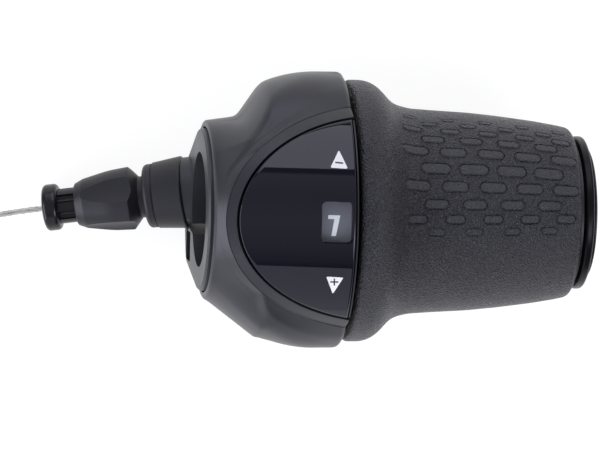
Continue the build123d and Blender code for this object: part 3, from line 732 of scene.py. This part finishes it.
mark_white = moulded("mark_white", (0.88, 0.88, 0.90), 0.5, depth=0.0)
mark_dark = moulded("mark_dark", (0.012, 0.012, 0.016), 0.4, depth=0.0)
mark_round = 0.35
white_lift = 0.012
dark_lift = 0.025
lower_mark = rounded(((22.12, 10.24), (25.38, 10.16), (23.88, 13.55)), mark_round)
higher_mark = rounded(((21.80, -10.50), (25.05, -10.54), (23.36, -13.98)), mark_round)
printed("gear_marks", (lower_mark, higher_mark), white_lift, mark_white)
minus = ((23.07, 11.12), (24.52, 11.03), (24.52, 11.31), (23.07, 11.40))
plus = ((22.65, -11.69), (24.15, -11.65), (24.15, -11.37), (22.65, -11.41))
upright = ((23.34, -12.25), (23.60, -12.25), (23.48, -10.84), (23.22, -10.84))
printed("mark_signs", (minus, plus, upright), dark_lift, mark_dark)

# Grip: a hard sleeve that turns on the base's tube, with a soft rubber skin moulded over it. The skin has a
# flare next to the housing, rows of raised pads for the hand and a leathery grain from the mould.
sleeve_plastic = moulded("sleeve_plastic", (0.02, 0.02, 0.022), 0.4)
for node in ("grip_sleeve", "thrust_washer"):
    dress(node, sleeve_plastic)
grip_start = 28.2
grip_end = 72.4
skin_x = (28.2, 31.6, 32.8, 33.9, 35.1, 36.2, 37.3, 38.6, 41.0, 45.5, 52.5, 58.4, 65.4, 70.1, 72.4)
skin_r = (25.4, 25.4, 25.0, 24.45, 23.35, 22.0, 21.05, 20.5, 19.95, 19.65, 19.25, 18.65, 17.75, 16.95, 16.4)
flare_end = 38.0
flare_round = 0.9
tip_round = 1.0
round_rows = 7
flare_rows = 25
hold_rows = 230
skin_columns = 350
skin_inside = 14.45
flange_x = 30.25
flange_r = 23.65
pad_rows = (39.2, 33.2, 26.9, 19.5, 10.7, 0.0, -10.5, -20.7, -29.0, -36.3)
pad_center = 29.8
pad_half_length = (1.2, 1.45, 1.75, 2.1, 2.45, 2.75, 2.45, 2.2, 1.75, 1.45)
pad_half_height = (0.45, 0.52, 0.6, 0.72, 0.86, 0.98, 0.88, 0.78, 0.68, 0.56)
pad_fade = (0.5, 0.7, 0.9, 1.0, 1.0, 1.0, 1.0, 1.0, 1.0, 0.7)
pad_even = (43.35, 50.85, 58.3, 65.7)
pad_odd = (39.6, 47.05, 54.5, 61.8, 69.0)
pad_rise = 0.12
pad_edge = 0.14
pad_smooth = 0.4
groove_width = 0.12
groove_depth = 0.20
groove_shift = 0.8 * pad_edge
patch_turn = 43.0
patch_crowd = 11.0
flare_steps = np.linspace(grip_start, flare_end, flare_rows + 1)[:-1]
hold_steps = np.linspace(flare_end, grip_end - tip_round, hold_rows + 1)[:-1]
tip_steps = grip_end - tip_round + tip_round * np.sin(np.radians(np.linspace(0, 90, round_rows)))
start_steps = grip_start + flare_round * (1 - np.cos(np.radians(np.linspace(0, 80, round_rows))))
skin_steps = np.concatenate((start_steps, flare_steps[flare_steps > start_steps[-1]], hold_steps, tip_steps))
fine_step = 0.1
skin_soft = 0.6
fine_x = np.arange(grip_start, grip_end, fine_step)
fine_r = soften(np.interp(fine_x, skin_x, skin_r), fine_step, skin_soft)
skin_height = np.interp(skin_steps, fine_x, fine_r)
before_flare = np.clip(grip_start + flare_round - skin_steps, 0, flare_round)
past_tip = np.clip(skin_steps - (grip_end - tip_round), 0, tip_round)
skin_height -= flare_round - np.sqrt(flare_round**2 - before_flare**2)
skin_height -= tip_round - np.sqrt(tip_round**2 - past_tip**2)
skin_share = spaced(skin_columns + 1, lambda t: 1 + patch_crowd * (np.abs(t * 360 - 180) < patch_turn))
skin_turn = skin_share[:-1] * 360 - 180
skin_angles = np.radians(skin_turn + pad_center)
skin_grid_x = np.repeat(skin_steps[:, None], skin_columns, axis=1)
skin_grid_r = np.repeat(skin_height[:, None], skin_columns, axis=1)
on_pad = np.zeros_like(skin_grid_r)
for index, row in enumerate(pad_rows):
    arc = np.radians(skin_turn - row)[None, :] * skin_grid_r
    centers = pad_even if index % 2 else pad_odd
    reach = np.min([np.abs(skin_grid_x - x) for x in centers], axis=0)
    length, height = pad_half_length[index], pad_half_height[index]
    edge = np.hypot(np.maximum(reach - (length - height), 0), arc) - height
    raised = np.clip(0.5 - edge / pad_edge, 0, 1)
    groove = np.exp(-(((edge - groove_shift) / groove_width) ** 2))
    skin_grid_r += pad_fade[index] * (pad_rise * raised - groove_depth * groove)
    on_pad = np.maximum(on_pad, pad_fade[index] * np.clip(1.0 - edge / pad_smooth, 0, 1))
closing_x = np.array((grip_end, grip_end, 60.0, 45.0, flange_x, flange_x, grip_start))
closing_r = np.array((15.2, skin_inside, skin_inside, skin_inside, skin_inside, flange_r, flange_r))
smooth_share = np.concatenate((on_pad.ravel(), np.zeros(len(closing_x) * skin_columns)))
skin_grid_x = np.vstack((skin_grid_x, np.repeat(closing_x[:, None], skin_columns, axis=1)))
skin_grid_r = np.vstack((skin_grid_r, np.repeat(closing_r[:, None], skin_columns, axis=1)))
rubber_dark = (0.028, 0.0276, 0.033)
rubber_light = (0.038, 0.0374, 0.0445)
rubber_gloss = (0.31, 0.39)
cloud_scale = 70.0
leather_scale = 3300.0
leather_smooth = 0.6
leather_depth = 0.00075
warp_scale = 900.0
warp_share = 0.0006
pad_grain = 0.35
fine_scale = 2600.0
fine_depth = 0.00016
rubber, tree, principled, place = shader("grip_rubber_skin")
drift = noise(tree, place, cloud_scale, detail=3.0)
principled.inputs["Specular IOR Level"].default_value = 0.5
principled.inputs["Specular Tint"].default_value = cool_sheen
skin_tone = shade(tree, ramp(tree, drift, 0.0, 1.0), rubber_dark, rubber_light)
tree.links.new(skin_tone, principled.inputs["Base Color"])
tree.links.new(ramp(tree, drift, *rubber_gloss), principled.inputs["Roughness"])
cells = tree.nodes.new("ShaderNodeTexVoronoi")
cells.feature = "SMOOTH_F1"
cells.inputs["Scale"].default_value = leather_scale
cells.inputs["Smoothness"].default_value = leather_smooth
warp = tree.nodes.new("ShaderNodeTexNoise")
warp.inputs["Scale"].default_value = warp_scale
tree.links.new(place, warp.inputs["Vector"])
bent = tree.nodes.new("ShaderNodeMix")
bent.data_type = "VECTOR"
bent.inputs["Factor"].default_value = warp_share
tree.links.new(place, bent.inputs["A"])
tree.links.new(warp.outputs["Color"], bent.inputs["B"])
tree.links.new(bent.outputs["Result"], cells.inputs["Vector"])
pad_top = tree.nodes.new("ShaderNodeAttribute")
pad_top.attribute_name = "on_pad"
rough_share = ramp(tree, pad_top.outputs["Fac"], 1.0, pad_grain, 0.0, 1.0)
grain = tree.nodes.new("ShaderNodeMath")
grain.operation = "MULTIPLY"
tree.links.new(cells.outputs["Distance"], grain.inputs[0])
tree.links.new(rough_share, grain.inputs[1])
leather = relief(tree, grain.outputs[0], leather_depth)
fine = noise(tree, place, fine_scale, detail=3.0, roughness=0.6)
tree.links.new(relief(tree, fine, fine_depth, leather), principled.inputs["Normal"])
grip_skin = put_mesh(
    "grip_skin",
    polar_points(skin_grid_x, skin_grid_r, skin_angles),
    grid_faces(len(skin_grid_x), skin_columns),
    rubber,
    sharp=60.0,
)
grip_skin.data.attributes.new("on_pad", "FLOAT", "POINT").data.foreach_set("value", smooth_share)
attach(grip_skin, "grip")
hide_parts("grip_rubber")

# End washer: the ring that closes the outer end of the grip and stays still with the tube.
# It is glossy black plastic, pushed on over the tube and held by a blackened steel clip.
dress("end_washer", moulded("washer_gloss", (0.0030, 0.0030, 0.0036), 0.30, depth=0.0, shine=0.18))
dress("retaining_ring", plated_steel("black_oxide", (0.012, 0.012, 0.014), 0.5))

# Adjuster: a holder on the cable boss, a fluted knob on a hollow steel screw, and the plug in its end.
# Holder and knob are matt moulded nylon, and the plug is a glossier cap with grooves in its shaft.
adjuster_plastic = moulded("adjuster_plastic", (0.0130, 0.0128, 0.0152), 0.42, shine=0.4)
for node in ("adjuster_holder", "adjuster_knob"):
    dress(node, adjuster_plastic)
dress("adjusting_bolt", zinc)
dress("casing_plug", moulded("plug_gloss", (0.0060, 0.0048, 0.0050), 0.24, depth=0.0, shine=0.4))

# Gear wire: the bare end of the shift cable, a stiff twisted steel strand that comes out of the plug.
# Its spare length is delivered in a flat coil, held by a nylon tie.
wire_exit = Vector((-27.523, -2.417, -25.667)) * MM
coil_center = Vector((-56.5, 8.1, -26.35)) * MM
wire_diameter = 1.2 * MM
coil_outer = 17.0 * MM
coil_inner = 12.0 * MM
layer_height = 1.22 * MM
coil_floor = -29.25 * MM
turns_per_layer = 4.0
layers = 5
points_per_turn = 16
climb_turns = 0.5
route = [
    wire_exit,
    Vector((-36.6, -3.8, -28.0)) * MM,
    Vector((-46.0, -6.6, -29.05)) * MM,
]
steps = int(turns_per_layer * points_per_turn)
for layer in range(layers):
    for step in range(steps):
        share = step / steps
        radius = coil_outer + (coil_inner - coil_outer) * (share if layer % 2 == 0 else 1 - share)
        angle = math.radians(-90) - 2 * math.pi * (layer * turns_per_layer + share * turns_per_layer)
        rise = max(0.0, ((share - 1) * turns_per_layer + climb_turns) / climb_turns)
        height = coil_floor + (layer + (rise if layer < layers - 1 else 0.0)) * layer_height
        route.append(Vector((
            coil_center.x + radius * math.cos(angle),
            coil_center.y + radius * math.sin(angle),
            height,
        )))
wire_line = bpy.data.curves.new("wire_line", "CURVE")
wire_line.dimensions = "3D"
wire_line.resolution_u = 12
spline = wire_line.splines.new("NURBS")
spline.points.add(len(route) - 1)
for point, target in zip(spline.points, route):
    point.co = (*target, 1.0)
spline.order_u = 3
spline.use_endpoint_u = True
line_object = bpy.data.objects.new("wire_line", wire_line)
line_mesh = bpy.data.meshes.new_from_object(line_object)
bpy.data.objects.remove(line_object)
wire_path = np.array([vertex.co for vertex in line_mesh.vertices]) / MM
strand_count = 8
strand_dip = 0.84
strand_lay = 7.0
along = np.diff(wire_path, axis=0)
ahead = np.vstack((along[:1], (along[1:] + along[:-1]) / 2, along[-1:]))
ahead /= np.linalg.norm(ahead, axis=1)[:, None]
side = np.cross(ahead[0], (0.0, 0.0, 1.0))
travelled = 0.0
wire_points = []
ring_corners = 2 * strand_count
wire_radius = wire_diameter / MM / 2
ring_turns = np.arange(ring_corners) * math.pi / strand_count
ring_reach = wire_radius * np.where(np.arange(ring_corners) % 2, strand_dip, 1.0)
for index, (spot, forward) in enumerate(zip(wire_path, ahead)):
    side = side - forward * (side @ forward)
    side /= np.linalg.norm(side)
    travelled += np.linalg.norm(along[index - 1]) if index else 0.0
    turns = ring_turns + 2 * math.pi * travelled / strand_lay
    across = np.cos(turns)[:, None] * side + np.sin(turns)[:, None] * np.cross(forward, side)
    wire_points.append(spot + ring_reach[:, None] * across)
wire_faces = [face[::-1] for face in grid_faces(len(wire_path), ring_corners, close_rows=False)]
last_ring = (len(wire_path) - 1) * ring_corners
wire_faces.append(tuple(reversed(range(ring_corners))))
wire_faces.append(tuple(range(last_ring, last_ring + ring_corners)))
gear_wire = put_mesh("gear_wire", np.vstack(wire_points), wire_faces, wire_steel, sharp=75.0)
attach(gear_wire, "base")
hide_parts("wire_run", "wire_coil")
tie_angle = math.radians(70.0)
tie_half = 1.1
tie_skin = 0.3
tie_corner = 1.4
tie_step = 7.5
tie_outward = np.array((math.cos(tie_angle), math.sin(tie_angle), 0.0))
tie_along = np.array((-math.sin(tie_angle), math.cos(tie_angle), 0.0))
tie_span = np.array((coil_outer - coil_inner, (layers - 1) * layer_height)) / MM / 2 + wire_radius
tie_middle = np.array((coil_outer + coil_inner, 2 * coil_floor + (layers - 1) * layer_height)) / MM / 2
tie_turns = np.radians(np.arange(0, 360, tie_step) + tie_step / 2)
tie_rows = []
for shift, grow in ((-tie_half, 0.0), (-tie_half, tie_skin), (tie_half, tie_skin), (tie_half, 0.0)):
    corner = tie_corner + grow
    flat = np.stack((np.cos(tie_turns), np.sin(tie_turns)), axis=-1)
    flat = np.sign(flat) * (tie_span + grow - corner) + flat * corner + tie_middle
    heights = np.maximum(flat[:, 1], cad_box[0].z / MM)
    spots = np.array(coil_center) / MM + flat[:, :1] * tie_outward + shift * tie_along
    tie_rows.append(np.stack((spots[:, 0], spots[:, 1], heights), axis=-1))
tie_faces = grid_faces(len(tie_rows), len(tie_turns))
tie_nylon = moulded("tie_nylon", (0.55, 0.55, 0.53), 0.45)
coil_tie = put_mesh("coil_tie", np.vstack(tie_rows), tie_faces, tie_nylon)
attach(coil_tie, "base")

# Studio: a floor of white paper, a soft sky, and four soft panels of light: one along each side of the bar,
# one past the adjuster's end and a high one over the grip. What looks at the paper, straight or by a
# reflection, sees it near white, and the light that it sends back to the part is that of plain pale paper.
floor_size = 6.0
paper_pale = 0.8
paper_shadow = 0.25
paper_glow = 0.85
bpy.ops.mesh.primitive_plane_add(size=floor_size, location=(0, 0, cad_box[0].z))
floor = bpy.context.object
floor.name = "floor"
paper, tree, principled, _ = shader("white_paper")
tree.nodes.remove(principled)


def either(tree, first, second):
    """Whether a ray is of one kind or the other."""
    node = tree.nodes.new("ShaderNodeMath")
    node.operation = "MAXIMUM"
    tree.links.new(first, node.inputs[0])
    tree.links.new(second, node.inputs[1])
    return node.outputs[0]


def matt_paper(tree, tone):
    """Diffuse grey of one tone."""
    node = tree.nodes.new("ShaderNodeBsdfDiffuse")
    node.inputs["Color"].default_value = (tone, tone, tone, 1)
    return node.outputs[0]


ray = tree.nodes.new("ShaderNodeLightPath").outputs
mirrored = either(tree, ray["Is Glossy Ray"], ray["Is Transmission Ray"])
looks = either(tree, ray["Is Camera Ray"], mirrored)
glow = tree.nodes.new("ShaderNodeEmission")
glow.inputs["Strength"].default_value = paper_glow
white = tree.nodes.new("ShaderNodeAddShader")
tree.links.new(matt_paper(tree, paper_shadow), white.inputs[0])
tree.links.new(glow.outputs[0], white.inputs[1])
mix = tree.nodes.new("ShaderNodeMixShader")
tree.links.new(looks, mix.inputs["Fac"])
tree.links.new(matt_paper(tree, paper_pale), mix.inputs[1])
tree.links.new(white.outputs[0], mix.inputs[2])
tree.links.new(mix.outputs[0], tree.nodes["Material Output"].inputs["Surface"])
floor.data.materials.append(paper)

world = bpy.data.worlds.new("studio")
bpy.context.scene.world = world
world.use_nodes = True
tree = world.node_tree
sky = tree.nodes["Background"]
sky.inputs["Color"].default_value = (0.93, 0.95, 1.0, 1.0)
direction = tree.nodes.new("ShaderNodeTexCoord").outputs["Generated"]
apart = tree.nodes.new("ShaderNodeSeparateXYZ")
tree.links.new(direction, apart.inputs[0])
bands = tree.nodes.new("ShaderNodeValToRGB")
tree.links.new(ramp(tree, apart.outputs["Y"], 0.0, 1.0, -1.0, 1.0), bands.inputs["Fac"])
sky_across = (-0.71, -0.64, -0.45, -0.10, 0.30, 0.57, 0.60, 0.70)
sky_strength = (0.16, 0.28, 0.42, 0.52, 0.45, 0.58, 0.20, 0.20)
stops = bands.color_ramp.elements
for index, (across, strength) in enumerate(zip(sky_across, sky_strength)):
    share = (across + 1) / 2
    stop = stops[index] if index < len(stops) else stops.new(share)
    stop.position = share
    stop.color = (strength, strength, strength, 1.0)
tree.links.new(bands.outputs["Color"], sky.inputs["Strength"])
lamp_color = (0.92, 0.93, 1.0)


def softbox(name, place, size, strength, faces):
    """Large soft panel of light that faces a place on the bar. Its strength is how bright it looks."""
    lamp = bpy.data.lights.new(name, "AREA")
    lamp.shape = "RECTANGLE"
    lamp.size, lamp.size_y = size
    lamp.energy = strength * math.pi * size[0] * size[1]
    lamp.color = lamp_color
    panel = bpy.data.objects.new(name, lamp)
    panel.location = place
    panel.rotation_mode = "QUATERNION"
    panel.rotation_quaternion = (Vector(place) - Vector((faces, 0, 0))).to_track_quat("Z", "Y")
    bpy.context.scene.collection.objects.link(panel)


softbox("far_panel", (0.015, 0.784, 0.388), (0.87, 0.68), 1.9, faces=0.015)
softbox("near_panel", (-0.45, -0.808, 0.323), (1.1, 0.68), 0.85, faces=-0.45)
softbox("end_panel", (-0.79, -0.26, 0.25), (1.0, 0.54), 4.0, faces=0.0)
softbox("key_panel", (0.42, -0.36, 0.86), (0.5, 0.42), 5.0, faces=0.05)

camera_data = bpy.data.cameras.new("camera")
camera_data.sensor_width = 36.0
camera = bpy.data.objects.new("camera", camera_data)
bpy.context.scene.collection.objects.link(camera)
bpy.context.scene.camera = camera
camera_tilt = math.radians(5.5)
camera_lean = math.radians(8.0)
camera_roll = math.radians(0.45)
camera_distance = 1.0
view_width = 116.4 * MM
aim = Vector((19.8, -2.9, 0.0)) * MM
back = Vector((
    -math.sin(camera_lean),
    math.sin(camera_tilt) * math.cos(camera_lean),
    math.cos(camera_tilt) * math.cos(camera_lean),
))
up = Vector((0, math.cos(camera_tilt), -math.sin(camera_tilt)))
right = up.cross(back)
turn = Matrix((right, up, back)).transposed() @ Matrix.Rotation(camera_roll, 3, "Z")
camera.matrix_world = Matrix.Translation(aim + back * camera_distance) @ turn.to_4x4()
camera_data.lens = camera_data.sensor_width * camera_distance / view_width
camera_data.clip_start = 0.05
camera_data.clip_end = 20.0

bpy.context.scene.view_settings.view_transform = "Standard"
